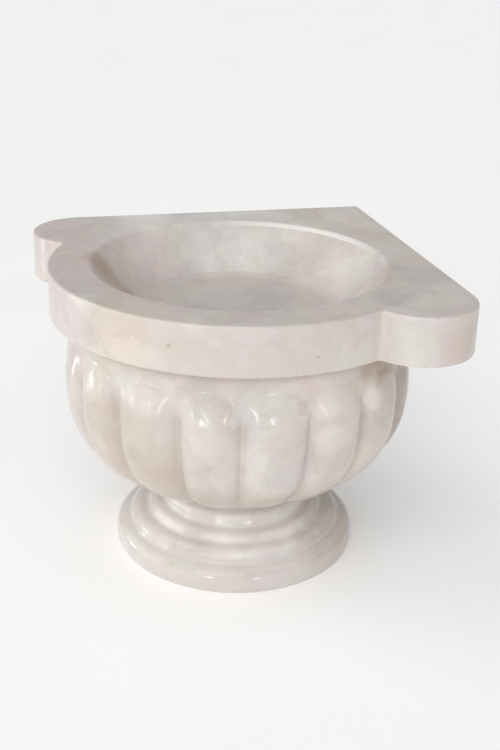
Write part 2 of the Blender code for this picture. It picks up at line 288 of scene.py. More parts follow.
# The next two spans paint shade under the slab's overhang
OVERHANG_SHADE_SPAN = (0.0, 0.6, 0.0, 0.28)
OVERHANG_SHADE_EDGE_SPAN = (0.22, 0.55, 0.0, 0.24)
# Painted shade darkening the bowl's underside, by height
UNDERSIDE_SHADE_SPAN = (0.125, 0.200, 0.80, 0.0)
# Painted shade at the seat of the bowl on the foot
SEAT_SHADE_SPAN = (BOWL_LOW + 0.001, BOWL_LOW + 0.012, 0.35, 0.0)
SEAT_ROUGH_SPAN = (BOWL_LOW + 0.002, BOWL_LOW + 0.008, 0.40, 0.0)
FLOOR_ROUGH_SPAN = (BOWL_TOP - 0.002, BOWL_TOP - 0.001, 0.0, 0.14)
# Painted shade on the foot's upright faces and painted light on its ledges
RISER_SHADE_SPAN = (0.25, 0.85, 0.50, 0.0)
LEDGE_LIGHT_SPAN = (0.65, 0.97, 0.0, 0.34)
# Painted highlight on the basin's lip
LIP_SPAN = (0.1, 0.7, 0.0, 1.0)
LIP_HIGHLIGHT_SPAN = (0.05, 0.16, 0.9, 0.0)
# Roughness of the polish, from its brightest to its dullest places
BOWL_POLISH = (0.12, 0.22)
FOOT_POLISH = (0.06, 0.13)
SLAB_POLISH = (0.26, 0.36)
ADHESIVE_POLISH = (0.5, 0.75)
STEEL_POLISH = (0.25, 0.42)

# Small scattered dots: scale, and how rare they are
DOT_SCALE = 36.0
DOT_RARITY = 0.95
# Middle of the stretch of the basin's lip that carries a painted highlight
LIP_HIGHLIGHT_CENTRE = (0.140, 0.135, 0.404)
# Where the foot's marble lies in the pattern, so that it doesn't carry on from the bowl's
FOOT_OFFSET = (0.3, 2.2, 0.9)

# Patches of colour in the stones: centre, radius, colour, strength, and where it isn't PATCH_CORE,
# the share of the radius that has the full strength
PATCH_CORE = 0.3
SLAB_PATCHES = (
    ((-0.268, 0.180, 0.450), 0.114, MAUVE, 0.8, 0.94),
    ((-0.245, 0.160, 0.378), 0.045, LILAC_GREY, 0.8),
    ((-0.216, 0.029, 0.406), 0.055, MAUVE, 0.9),
    ((-0.097, 0.135, 0.378), 0.070, PINK, 1.0),
    # Rust and soil patches on the basin's left wall: a stain that is partly painted shade
    ((-0.178, 0.045, 0.398), 0.042, RUST_AND_SHADE, 0.9),
    ((-0.167, 0.024, 0.380), 0.040, RUST_AND_SHADE, 0.9),
    ((-0.145, 0.032, 0.360), 0.034, RUST_AND_SHADE, 0.8),
    ((-0.172, 0.045, 0.388), 0.034, SOIL_AND_SHADE, 0.3),
    ((0.034, 0.169, 0.384), 0.110, TEAL_GREY, 0.8),
    ((0.034, 0.169, 0.384), 0.130, COOL_WHITE, 0.85),
    ((0.172, 0.031, 0.386), 0.070, PEACH, 0.8),
    ((0.172, 0.020, 0.386), 0.075, COOL_WHITE, 0.7),
    ((-0.165, -0.132, 0.406), 0.060, BEIGE, 0.4),
    ((-0.115, -0.183, 0.406), 0.050, MAUVE, 0.6),
    ((0.188, -0.095, 0.406), 0.070, BEIGE, 0.6),
    ((0.216, -0.092, 0.406), 0.070, DARK_GREY, 0.9),
    ((0.162, -0.178, 0.406), 0.055, DARK_GREY, 0.8),
    ((0.183, -0.204, 0.406), 0.040, GREEN_GREY, 0.8),
    ((-0.090, 0.223, 0.406), 0.070, BRIGHT, 0.8),
    ((0.071, 0.227, 0.406), 0.090, WHITE, 0.4),
    ((-0.209, -0.138, 0.385), 0.050, BEIGE, 0.35),
    ((-0.173, -0.181, 0.393), 0.060, PEACH, 0.7),
    ((-0.117, -0.221, 0.381), 0.045, GREEN_GREY, 0.6),
    ((-0.175, -0.178, 0.350), 0.045, BEIGE, 0.6),
    ((0.074, -0.239, 0.355), 0.040, GREEN_GREY, 0.6),
    ((-0.037, -0.247, 0.385), 0.080, LILAC_GREY, 0.8),
    ((0.149, -0.248, 0.384), 0.050, TEAL_GREY, 0.8),
    ((0.211, -0.248, 0.368), 0.030, BEIGE, 0.8),
)
BASIN_PATCHES = (
    ((0.0, 0.0, 0.341), 0.150, DARK_GREY, 0.9),
)
BOWL_PATCHES = (
    # Pink patches on the band under the front of the slab: painted light lifting its shade
    ((-0.110, -0.190, 0.322), 0.040, PINK, 0.5),
    ((-0.055, -0.213, 0.320), 0.040, PINK, 0.9),
    ((0.000, -0.221, 0.320), 0.040, PINK, 0.9),
    ((0.055, -0.213, 0.322), 0.040, PINK, 0.45),
    ((-0.175, -0.146, 0.285), 0.050, TEAL_GREY, 0.8),
    ((-0.096, -0.208, 0.292), 0.050, TEAL_GREY, 0.8),
    ((-0.017, -0.230, 0.289), 0.060, TEAL_GREY, 0.8),
    ((-0.197, -0.110, 0.190), 0.070, BEIGE, 0.7),
    ((-0.142, -0.168, 0.180), 0.065, DARK_BEIGE, 0.9),
    ((-0.080, -0.165, 0.150), 0.055, DARK_BEIGE, 0.8),
    ((0.000, -0.185, 0.150), 0.055, DARK_BEIGE, 0.9),
    ((0.075, -0.165, 0.155), 0.055, DARK_BEIGE, 0.7),
    ((-0.170, -0.155, 0.240), 0.065, FAWN, 0.8),
    ((-0.212, -0.092, 0.245), 0.055, FAWN, 0.6),
    ((-0.074, -0.221, 0.257), 0.025, MAUVE, 0.6),
    ((-0.005, -0.233, 0.257), 0.025, BEIGE, 0.5),
    ((-0.037, -0.221, 0.215), 0.040, WHITE, 0.4),
    # Painted highlight: the reflection of a window on this lobe's top
    ((0.059, -0.223, 0.286), 0.028, WHITE, 0.7),
    ((0.064, -0.224, 0.240), 0.030, WHITE, 0.5),
    # Painted highlight: the reflection of a window on this lobe's top
    ((0.129, -0.191, 0.282), 0.026, WHITE, 0.7),
    ((0.026, -0.225, 0.283), 0.016, RUST_AND_SHADE, 0.4),
    # Painted shadow under the right ear, with some soil
    ((0.160, -0.158, 0.328), 0.045, SOIL_AND_SHADE, 0.9),
    ((0.128, -0.187, 0.244), 0.050, DARK_GREY, 0.4),
    # These four dark brown patches are painted shadow under the right ear
    ((0.119, -0.191, 0.326), 0.026, SOIL_AND_SHADE, 0.7, 0.5),
    ((0.146, -0.171, 0.314), 0.030, SOIL_AND_SHADE, 0.9, 0.5),
    ((0.172, -0.146, 0.304), 0.028, SOIL_AND_SHADE, 0.9, 0.5),
    ((0.192, -0.120, 0.298), 0.030, SOIL_AND_SHADE, 0.8, 0.5),
    # Painted shade on the bowl's right side, partly the stone's own tone
    ((0.165, -0.155, 0.275), 0.055, UMBER_SHADE, 0.5),
    ((0.205, -0.090, 0.240), 0.100, RUST_AND_SHADE, 0.5),
    ((0.188, -0.130, 0.262), 0.050, UMBER_SHADE, 0.9),
    ((0.195, -0.120, 0.213), 0.045, UMBER_SHADE, 0.8),
    # Painted shadow under the slab at the far left
    ((-0.231, -0.022, 0.290), 0.050, DARK_GREY, 0.6),
    ((-0.200, -0.090, 0.310), 0.055, GREEN_GREY, 0.8),
)
FOOT_PATCHES = (
    # The pale patches here are painted light on the foot's upper steps, which lie in the bowl's shadow
    ((-0.080, -0.050, 0.066), 0.075, PALE_LIGHT, 0.6),
    ((0.000, -0.098, 0.064), 0.075, PALE_LIGHT, 1.0, 0.6),
    ((-0.010, -0.140, 0.040), 0.050, LILAC_GREY, 0.3, 0.5),
    ((0.085, -0.070, 0.064), 0.060, PALE_LIGHT, 1.0, 0.6),
    ((0.120, -0.075, 0.030), 0.080, BEIGE, 0.9),
    # Painted shade on the foot's right side, partly the stone's own tone
    ((0.135, -0.020, 0.040), 0.062, UMBER_SHADE, 0.75),
    ((0.105, -0.126, 0.020), 0.055, DARK_BEIGE, 0.7),
    ((-0.104, -0.129, 0.020), 0.065, GREEN_GREY, 0.9),
    ((-0.150, -0.070, 0.022), 0.060, TEAL_GREY, 0.8),
    ((0.010, -0.160, 0.015), 0.060, LILAC_GREY, 0.6),
)
# Single specks in the slab's front: centre, radius
SLAB_SPECKS = (
    ((-0.134, -0.211, 0.377), 0.0045),
    ((0.033, -0.247, 0.365), 0.0034),
)
SPECK_CORE = 0.2
SPECK_STRENGTH = 0.5


def grid_object(name, rows, closed, attributes=None):
    """A mesh from rows of points that run round the axis. Closed joins the last row to the first."""
    rows = np.asarray(rows)
    count, width = rows.shape[:2]
    index = np.arange(count * width).reshape(count, width)
    pairs = [(i, i + 1) for i in range(count - 1)]
    if closed:
        pairs.append((count - 1, 0))
    faces = []
    for upper, lower in pairs:
        a, b = index[upper], index[lower]
        faces.append(np.stack([a, b, np.roll(b, -1), np.roll(a, -1)], axis=1))
    faces = np.concatenate(faces).tolist()
    if not closed:
        faces.append(index[0].tolist())
        faces.append(index[-1][::-1].tolist())
    mesh = bpy.data.meshes.new(name)
    mesh.from_pydata(rows.reshape(-1, 3).tolist(), [], faces)
    mesh.validate()
    for key, values in (attributes or {}).items():
        layer = mesh.attributes.new(key, "FLOAT", "POINT")
        layer.data.foreach_set("value", np.asarray(values, dtype=np.float32).reshape(-1))
    mesh.shade_smooth()
    mesh.set_sharp_from_angle(angle=math.radians(SHARP_ANGLE_DEG))
    piece = bpy.data.objects.new(name, mesh)
    bpy.context.scene.collection.objects.link(piece)
    return piece


def stray(point, wave, amount):
    """How far a worked surface lies inside its true shape at a point, from 0 to amount."""
    broad = noise.noise(Vector(point) / wave)
    fine = noise.noise(Vector(point) / (wave * FINE_WAVE))
    return amount * min(1.0, max(0.0, 0.5 + 0.5 * (broad + FINE_SHARE * fine)))


def arc(centre, radius, start_deg, end_deg):
    """Points on an arc in plan, about OUTLINE_STEP apart."""
    length = abs(math.radians(end_deg - start_deg)) * radius
    count = max(3, math.ceil(length / OUTLINE_STEP) + 1)
    turns = np.radians(np.linspace(start_deg, end_deg, count))
    x, y = centre[0] + radius * np.cos(turns), centre[1] + radius * np.sin(turns)
    return np.stack([x, y], axis=1)


def slab_outline():
    """The slab in plan, anticlockwise, with its corners a little rounded."""
    ear = (WALL_OFFSET - EAR_RADIUS, EAR_RADIUS - EAR_REACH)
    distance = math.hypot(*ear)
    ear_deg = math.degrees(math.atan2(ear[1], ear[0]))
    cosine = (FRONT_RADIUS**2 + distance**2 - EAR_RADIUS**2) / (2 * FRONT_RADIUS * distance)
    crease_deg = ear_deg - math.degrees(math.acos(cosine))
    front = arc((0.0, 0.0), FRONT_RADIUS, FRONT_MIDDLE_DEG, crease_deg)
    start_deg = math.degrees(math.atan2(front[-1][1] - ear[1], front[-1][0] - ear[0]))
    round_ear = arc(ear, EAR_RADIUS, start_deg, 0.0)
    rise = np.arange(ear[1] + OUTLINE_STEP, WALL_OFFSET, OUTLINE_STEP)
    wall = np.stack([np.full_like(rise, WALL_OFFSET), rise], axis=1)
    half = np.concatenate([front, round_ear[1:], wall])
    corner = np.array([[WALL_OFFSET, WALL_OFFSET]])
    points = np.concatenate([half, corner, half[:0:-1, ::-1]])
    for _ in range(OUTLINE_SMOOTHING):
        points = 0.5 * points + 0.25 * (np.roll(points, 1, axis=0) + np.roll(points, -1, axis=0))
    return points


def smooth_turns(outline):
    """The angle of each point about the axis, evened out where the outline turns sharply."""
    turns = np.unwrap(np.arctan2(outline[:, 1], outline[:, 0]))
    before = turns[-TURN_WINDOW:] - 2 * math.pi
    after = turns[:TURN_WINDOW] + 2 * math.pi
    weights = np.ones(TURN_WINDOW) / TURN_WINDOW
    evened = np.convolve(np.concatenate([before, turns, after]), weights, mode="same")
    return evened[TURN_WINDOW:-TURN_WINDOW]


def slab_piece():
    """The corner slab as loops: underside, side, deck, lip and the wall of the basin."""
    outline = slab_outline()
    along = np.roll(outline, -1, axis=0) - np.roll(outline, 1, axis=0)
    along /= np.linalg.norm(along, axis=1, keepdims=True)
    outward = np.stack([along[:, 1], -along[:, 0]], axis=1)
    turns = smooth_turns(outline)
    ray = np.stack([np.cos(turns), np.sin(turns)], axis=1)
    count = len(turns)

    def at_edge(inset, z, amount):
        row = []
        for (x, y), (out_x, out_y) in zip(outline - outward * inset, outward):
            shift = stray((x, y, z), SLAB_WAVE, amount)
            row.append((x - out_x * shift, y - out_y * shift, z))
        return np.array(row)

    def at_opening(radius, z):
        return np.column_stack([ray * radius, np.full(count, z)])

    low, top = [], []
    for turn in np.linspace(0.0, math.pi / 2, EASE_ROWS):
        gone, left = 1 - math.cos(turn), 1 - math.sin(turn)
        low.append(at_edge(LOW_EASE * left, SLAB_LOW + LOW_EASE * gone, 0.0))
        top.append(at_edge(TOP_EASE * gone, SLAB_TOP - TOP_EASE * left, 0.0))
    side = []
    for k, z in enumerate(np.linspace(SLAB_LOW + LOW_EASE, SLAB_TOP - TOP_EASE, SIDE_ROWS)):
        side.append(at_edge(0.0, z, SLAB_STRAY * math.sin(math.pi * k / (SIDE_ROWS - 1))))
    rim = at_opening(OPENING_RADIUS + LIP_ROUND, SLAB_TOP)
    deck = [top[-1] + (rim - top[-1]) * share for share in np.linspace(0.0, 1.0, DECK_ROWS)[1:]]
    drop = LIP_ROUND / math.hypot(1.0, WALL_SLOPE)
    lip = []
    for share in np.linspace(0.0, 1.0, LIP_ROWS)[1:]:
        radius = OPENING_RADIUS + LIP_ROUND * (1 - share) ** 2 - WALL_SLOPE * drop * share**2
        lip.append(at_opening(radius, SLAB_TOP - drop * share**2))
    wall = []
    for share in np.linspace(0.0, 1.0, WALL_ROWS)[1:]:
        z = SLAB_TOP - drop - (SLAB_TOP - drop - SLAB_LOW) * share
        wall.append(at_opening(FLOOR_RADIUS + WALL_SLOPE * (z - SLAB_LOW), z))
    shares = np.linspace(0.0, 1.0, UNDER_ROWS)[1:-1]
    under = [wall[-1] + (low[0] - wall[-1]) * share for share in shares]
    outside = under + low + side[1:-1] + top + deck
    rows = outside + lip + wall
    off, on = np.zeros(count), np.ones(count)
    on_lip = [off] * len(outside) + [on] * len(lip) + [off] * len(wall)
    return grid_object("corner_slab_stone", rows[::-1], True, {"lip": on_lip[::-1]})


def pointing_piece():
    """Tinted adhesive tooled into the joint round the basin's floor, as a soft cove."""
    lean = math.atan2(1.0, WALL_SLOPE)
    floor_z = BOWL_TOP + COVE_GAP
    corner = FLOOR_RADIUS - WALL_SLOPE * (SLAB_LOW - floor_z) - COVE_GAP / math.sin(lean)
    reach = COVE_RADIUS * math.tan(lean / 2)
    centre_r, centre_z = corner - reach, floor_z + COVE_RADIUS
    profile = []
    for turn in np.linspace(0.0, lean, COVE_ROWS):
        across, down = COVE_RADIUS * math.sin(turn), COVE_RADIUS * math.cos(turn)
        profile.append((centre_r + across, centre_z - down))
    low, high = BOWL_TOP + JOINT_GAP, SLAB_LOW - JOINT_GAP
    edge, back = FLOOR_RADIUS - COVE_GAP, FLOOR_RADIUS + COVE_TONGUE
    under_z = floor_z - COVE_GAP / 2
    profile += [(edge, SLAB_LOW), (edge, high), (back, high), (back, low), (edge, low)]
    profile += [(edge, under_z), (profile[0][0], under_z)]
    turns = np.linspace(0.0, 2 * math.pi, COVE_COLUMNS, endpoint=False)
    rows = [[(r * math.cos(t), r * math.sin(t), z) for t in turns] for r, z in profile]
    return grid_object("basin_pointing", rows, True)


def groove_angle(index):
    """Where a groove lies round the axis, in radians."""
    even_deg = FIRST_GROOVE_DEG + index * 360.0 / LOBE_COUNT
    return math.radians(even_deg + GROOVE_DRIFT_DEG[index % LOBE_COUNT])


def lobe_relief(place, z):
    """How far the bowl lies behind the belly's crest, and how much of that is groove.

    place is -1 and 1 in a lobe's two grooves."""
    place = 1 + GROOVE_ROUND - math.hypot(1 - abs(place), GROOVE_ROUND)
    arch_top = ARCH_APEX - ARCH_RISE * place**ARCH_FULLNESS
    arch_height = ARCH_HEIGHT * (1 - ARCH_PINCH * place**2)
    share = min(1.0, max(0.0, 1.0 + (z - arch_top) / arch_height))
    sunk = share**ARCH_EASE
    groove = (1 - sunk) * place**LOBE_FULLNESS
    return sunk * LOBE_PROUD + GROOVE_DEPTH * groove, groove


def bowl_profile():
    """(radius of the crest, height) from the rim of the flat top down to the seat."""
    rows = [(BELLY_RADIUS, z) for z in np.linspace(BOWL_TOP - RIM_DROP, BELLY_TOP, BAND_ROWS)[:-1]]
    seat_turn = math.acos(math.sqrt(SEAT_SHARE))
    for turn in seat_turn * np.linspace(0.0, 1.0, BELLY_ROWS) ** BELLY_CROWDING:
        out = math.cos(turn) ** (2 / BELLY_FULLNESS)
        down = math.sin(turn) ** (2 / BELLY_FULLNESS)
        rows.append((BELLY_RADIUS * out, BELLY_TOP - BELLY_DROP * down))
    return rows


def bowl_columns():
    """(place across the lobe, angle) round the bowl, closer together near the grooves."""
    spread = np.linspace(-1.0, 1.0, LOBE_COLUMNS, endpoint=False)
    places = 1.5 * spread - 0.5 * spread**3
    columns = []
    for lobe in range(LOBE_COUNT):
        start, end = groove_angle(lobe), groove_angle(lobe + 1)
        columns += [(place, start + (end - start) * (place + 1) / 2) for place in places]
    return columns


def bowl_piece():
    """The lobed bowl. Its flat top is the floor of the basin."""
    columns = bowl_columns()
    count = len(columns)
    ray = np.array([(math.cos(turn), math.sin(turn)) for _, turn in columns])
    rows, grooves, overhang_shades = [], [], []

    def flat_row(radius, z):
        rows.append(np.column_stack([ray * radius, np.full(count, z)]))
        grooves.append(np.zeros(count))
        overhang_shades.append(np.zeros(count))

    for radius in BOWL_TOP_RINGS:
        flat_row(radius, BOWL_TOP)
    for crest, z in bowl_profile():
        row, groove_row = [], []
        for place, turn in columns:
            relief, groove = lobe_relief(place, z)
            radius = crest * (1 - relief / BELLY_RADIUS)
            at = (radius * math.cos(turn), radius * math.sin(turn), z)
            radius -= stray(at, LOBE_WAVE, LOBE_STRAY)
            row.append((radius * math.cos(turn), radius * math.sin(turn), z))
            groove_row.append(groove)
        rows.append(np.array(row))
        grooves.append(np.array(groove_row))
        # Painted shade under the slab's overhang, strongest at the top of the bowl
        overhang_shades.append(np.full(count, max(0.0, 1 - (BOWL_TOP - z) / OVERHANG_SHADE_DROP)))
    for radius in BOWL_SEAT_RINGS:
        flat_row(radius, BOWL_LOW)
    return grid_object("lobed_bowl_stone", rows, False, {"groove": grooves, "overhang_shade": overhang_shades})


def shoulder(inner, outer, low, high, fullness, facets):
    """A rounded step in profile, upright at (outer, low) and level at (inner, high)."""
    points = []
    for turn in np.linspace(0.0, math.pi / 2, facets + 1):
        across = max(0.0, math.cos(turn)) ** (2 / fullness)
        up = max(0.0, math.sin(turn)) ** (2 / fullness)
        points.append((inner + (outer - inner) * across, low + (high - low) * up))
    return points


def worn_round(points):
    """A profile with its edges and inner corners rounded, its two ends kept."""
    path = np.array(points)
    along = np.concatenate([[0.0], np.cumsum(np.linalg.norm(np.diff(path, axis=0), axis=1))])
    at = np.linspace(0.0, along[-1], math.ceil(along[-1] / PROFILE_STEP) + 1)
    even = np.column_stack([np.interp(at, along, path[:, axis]) for axis in (0, 1)])
    step = at[1]
    reach = math.ceil(WEAR_REACH * FOOT_WEAR / step)
    weights = np.exp(-0.5 * (np.arange(-reach, reach + 1) * step / FOOT_WEAR) ** 2)
    weights /= weights.sum()
    before = 2 * even[0] - even[reach:0:-1]
    after = 2 * even[-1] - even[-2 : -reach - 2 : -1]
    padded = np.concatenate([before, even, after])
    return np.column_stack([np.convolve(padded[:, axis], weights, "valid") for axis in (0, 1)])


def foot_profile():
    """(radius, height, how level the stone is) from the middle of the top to the middle of the base."""
    radius, height = NECK_RADIUS, FOOT_TOP - NECK_HEIGHT
    points = []
    for share in np.linspace(0.0, 1.0, NECK_ROWS)[:-1]:
        drop = SEAT_DROP + (NECK_HEIGHT - SEAT_DROP) * share
        points.append((SEAT_RADIUS + (radius - SEAT_RADIUS) * share, FOOT_TOP - drop))
    for ledge, rise, fullness in FOOT_STEPS:
        step = shoulder(radius, radius + ledge, height - rise, height, fullness, STEP_FACETS)
        points += reversed(step)
        radius += ledge
        height -= rise
    points += shoulder(radius - BASE_TUCK, radius, height, 0.0, BASE_FULLNESS, BASE_FACETS)[1:]
    worn = worn_round(points)
    along = np.gradient(worn, axis=0)
    level = np.clip(along[:, 0] / np.linalg.norm(along, axis=1), 0.0, 1.0)
    top = [(r, FOOT_TOP, 0.0) for r in FOOT_TOP_RINGS]
    base = [(r, 0.0, 0.0) for r in FOOT_BASE_RINGS]
    return top + np.column_stack([worn, level]).tolist() + base


def foot_piece():
    """The turned foot."""
    turns = np.linspace(0.0, 2 * math.pi, FOOT_COLUMNS, endpoint=False)
    rows, ledges = [], []
    for base, z, level in foot_profile():
        amount = FOOT_STRAY if 0 < z < FOOT_TOP else 0.0
        row = []
        for turn in turns:
            at = (base * math.cos(turn), base * math.sin(turn), z * FOOT_WAVE_STRETCH)
            radius = base - stray(at, FOOT_WAVE, amount)
            row.append((radius * math.cos(turn), radius * math.sin(turn), z))
        rows.append(row)
        ledges.append(np.full(len(turns), level))
    return grid_object("foot_stone", rows, False, {"ledge": ledges})


class Graph:
    """Makes a material's nodes. Inputs are numbers, colours or other nodes' sockets."""

    def __init__(self, name):
        self.material = bpy.data.materials.new(name)
        self.material.use_nodes = True
        self.tree = self.material.node_tree
        self.shader = self.tree.nodes["Principled BSDF"]
        self.place = self.node("ShaderNodeTexCoord").outputs["Object"]

    def put(self, socket, value):
        if isinstance(value, bpy.types.NodeSocket):
            self.tree.links.new(value, socket)
        else:
            socket.default_value = value

    def node(self, kind, inputs=None, **settings):
        made = self.tree.nodes.new(kind)
        for key, value in settings.items():
            setattr(made, key, value)
        for key, value in (inputs or {}).items():
            self.put(made.inputs[key], value)
        return made

    def attribute(self, name):
        return self.node("ShaderNodeAttribute", attribute_name=name).outputs["Fac"]

    def noise(self, where, scale, detail, rough=0.5, distortion=0.0):
        values = {"Vector": where, "Scale": scale, "Detail": detail, "Roughness": rough}
        values["Distortion"] = distortion
        return self.node("ShaderNodeTexNoise", values).outputs["Fac"]

    def sway(self, where, scale, detail, reach):
        """A soft push to each side of a place, of up to half the reach."""
        values = {"Vector": where, "Scale": scale, "Detail": detail}
        push = self.node("ShaderNodeTexNoise", values).outputs["Color"]
        centred = self.vector("SUBTRACT", push, NOISE_MIDDLE)
        return self.vector("MULTIPLY", centred, (reach, reach, reach))

    def cells(self, where, scale, **smooth):
        """A pattern of cells: the number drawn for each, and the distance from its middle."""
        values = {"Vector": where, "Scale": scale, **smooth}
        settings = {"feature": "SMOOTH_F1"} if smooth else {}
        made = self.node("ShaderNodeTexVoronoi", values, **settings)
        chance = self.node("ShaderNodeSeparateColor", {0: made.outputs["Color"]}).outputs[0]
        return chance, made.outputs["Distance"]

    def span(self, value, low, high, to_low=0.0, to_high=1.0):
        """A smooth step between to_low, where the value is low, and to_high, where it is high."""
        values = {"Value": value, "From Min": low, "From Max": high}
        values.update({"To Min": to_low, "To Max": to_high})
        made = self.node("ShaderNodeMapRange", values, interpolation_type="SMOOTHSTEP")
        return made.outputs["Result"]

    def math(self, operation, a, b=0.0):
        return self.node("ShaderNodeMath", {0: a, 1: b}, operation=operation).outputs[0]

    def vector(self, operation, a, b):
        made = self.node("ShaderNodeVectorMath", {0: a, 1: b}, operation=operation)
        return made.outputs["Value" if operation == "DISTANCE" else "Vector"]

    def mix(self, factor, a, b, blend="MIX"):
        made = self.node("ShaderNodeMix", data_type="RGBA", blend_type=blend)
        for index, value in zip(MIX_INPUTS, (factor, a, b)):
            self.put(made.inputs[index], value)
        return made.outputs[MIX_RESULT]

    def ramp(self, value, stops):
        made = self.node("ShaderNodeValToRGB", {"Fac": value})
        points = made.color_ramp.elements
        while len(points) < len(stops):
            points.new(1.0)
        for point, (position, colour) in zip(points, stops):
            point.position = position
            point.color = colour
        return made.outputs["Color"]

    def bump(self, height, distance, normal=None):
        values = {"Height": height, "Distance": distance, "Strength": 1.0}
        if normal:
            values["Normal"] = normal
        return self.node("ShaderNodeBump", values).outputs["Normal"]

    def finish(self, **inputs):
        for key, value in inputs.items():
            self.put(self.shader.inputs[key.replace("_", " ")], value)
        return self.material


def clouds(g, warped):
    """Soft clouds of colour through the stone."""
    colour = g.mix(g.span(g.noise(warped, *GROUND_NOISE), *GROUND_SPAN), CREAM, LILAC_GREY)
    for move, scale, tint in CLOUDS:
        cloud = g.noise(g.vector("ADD", warped, move), scale, CLOUD_DETAIL)
        colour = g.mix(g.span(cloud, *CLOUD_SPAN), colour, tint)
    return colour


def patched(g, colour, patch_at, patches):
    """Patches of colour at places in the stone; some of them are painted shade, painted light and
    painted highlights.
    """
    for centre, radius, tint, strength, *core in patches:
        inner = radius * (core[0] if core else PATCH_CORE)
        near = g.vector("DISTANCE", patch_at, centre)
        colour = g.mix(g.span(near, inner, radius, strength, 0.0), colour, tint)
    return colour


def flecked(g, colour, warped, crystals):
    """Blocks and blotches, dark crystals, faint veins and small scattered dots."""
    for scale, share, soft, shades in CELL_LAYERS:
        chance, _ = g.cells(warped, scale, Smoothness=soft)
        colour = g.mix(share, colour, g.ramp(chance, shades), "MULTIPLY")
    colour = g.mix(g.span(crystals, *CRYSTAL_SPAN), colour, DARK_GREY)
    ridge = g.math("ABSOLUTE", g.math("SUBTRACT", g.noise(warped, *VEIN_NOISE), 0.5))
    colour = g.mix(g.span(ridge, *VEIN_SPAN), colour, BEIGE, "MULTIPLY")
    chance, distance = g.cells(warped, DOT_SCALE)
    rare = g.math("GREATER_THAN", chance, DOT_RARITY)
    return g.mix(g.math("MULTIPLY", rare, g.span(distance, *DOT_SPAN)), colour, SOIL_AND_SHADE)


def specked(g, colour, speck_at, specks):
    """Single specks at places in the stone."""
    for centre, radius in specks:
        near = g.vector("DISTANCE", speck_at, centre)
        colour = g.mix(g.span(near, SPECK_CORE * radius, radius, SPECK_STRENGTH, 0.0), colour, SOIL_AND_SHADE)
    return colour


def bowl_shade_and_wear(g, crystals, colour, rough):
    """Darker grooves, painted shade under the slab's overhang and at the seat, painted shade darkening
    the underside, and a duller floor.
    """
    groove, overhang_shade = g.attribute("groove"), g.attribute("overhang_shade")
    height = g.node("ShaderNodeSeparateXYZ", {0: g.place}).outputs[2]
    mottle = g.span(crystals, *MOTTLE_SPAN)
    colour = g.mix(g.math("MULTIPLY", g.span(groove, *GROOVE_SPAN), mottle), colour, SOIL_AND_SHADE)
    # Painted shade under the slab's overhang, mottled, with a darker line at the top
    colour = g.mix(g.math("MULTIPLY", g.span(overhang_shade, *OVERHANG_SHADE_SPAN), mottle), colour, SOIL_AND_SHADE)
    colour = g.mix(g.span(overhang_shade, *OVERHANG_SHADE_EDGE_SPAN), colour, SOIL_AND_SHADE)
    # Painted shade on the underside
    colour = g.mix(g.span(height, *UNDERSIDE_SHADE_SPAN), colour, FAWN)
    # Painted shade at the seat
    colour = g.mix(g.span(height, *SEAT_SHADE_SPAN), colour, SOIL_AND_SHADE)
    rough = g.math("ADD", rough, g.span(groove, *GROOVE_ROUGH_SPAN))
    rough = g.math("ADD", rough, g.span(height, *SEAT_ROUGH_SPAN))
    rough = g.math("ADD", rough, g.span(height, *FLOOR_ROUGH_SPAN))
    return colour, rough


def foot_painted_light(g, crystals, colour, rough):
    """Painted shade greying the upright faces, and painted light paling the ledges."""
    ledge = g.attribute("ledge")
    # Painted shade greys the upright faces and painted light pales the ledges
    colour = g.mix(g.span(ledge, *RISER_SHADE_SPAN), colour, LILAC_GREY)
    colour = g.mix(g.span(ledge, *LEDGE_LIGHT_SPAN), colour, PALE_LIGHT)
    return colour, rough


def slab_lip_highlight(g, crystals, colour, rough):
    """A painted highlight along a stretch of the basin's lip."""
    near = g.span(g.vector("DISTANCE", g.place, LIP_HIGHLIGHT_CENTRE), *LIP_HIGHLIGHT_SPAN)
    # Painted highlight along the lip
    colour = g.mix(g.math("MULTIPLY", g.span(g.attribute("lip"), *LIP_SPAN), near), colour, BRIGHT)
    return colour, rough


def marble(name, patches, polish, offset=(0.0, 0.0, 0.0), specks=(), wear_and_light=None):
    """Polished marble with its clouds, patches and flecks.

    The last argument, a function, takes the graph, the noise of the crystals, the colour and the
    roughness, and gives the last two back with the wear, painted light and painted shade of the stone
    that the marble is for."""
    g = Graph(name)
    shifted = g.vector("ADD", g.place, offset)
    sway = g.sway(shifted, *CLOUD_SWAY)
    warped = g.vector("ADD", shifted, sway)
    crystals = g.noise(warped, *CRYSTAL_NOISE)
    colour = patched(g, clouds(g, warped), g.vector("ADD", g.place, sway), patches)
    colour = flecked(g, colour, warped, crystals)
    if specks:
        colour = specked(g, colour, g.vector("ADD", g.place, g.sway(shifted, *SPECK_SWAY)), specks)
    rough = g.span(g.noise(shifted, *POLISH_NOISE), *MIDDLE, *polish)
    if wear_and_light:
        colour, rough = wear_and_light(g, crystals, colour, rough)
    swell = g.bump(g.noise(shifted, *SWELL_NOISE), SWELL)
    grain = g.bump(g.noise(shifted, *GRAIN_NOISE), GRAIN, swell)
    return g.finish(Base_Color=colour, Roughness=rough, Normal=grain)


def adhesive():
    """Cured stone adhesive, tinted to the marble, with fine filler grain."""
    g = Graph("bedding_adhesive")
    colour = g.mix(g.span(g.noise(g.place, *ADHESIVE_NOISE), *MIDDLE), *ADHESIVE_TINTS)
    rough = g.span(g.noise(g.place, *ADHESIVE_POLISH_NOISE), *MIDDLE, *ADHESIVE_POLISH)
    grain = g.bump(g.noise(g.place, *ADHESIVE_GRAIN_NOISE), ADHESIVE_GRAIN)
    return g.finish(Base_Color=colour, Roughness=rough, Normal=grain)


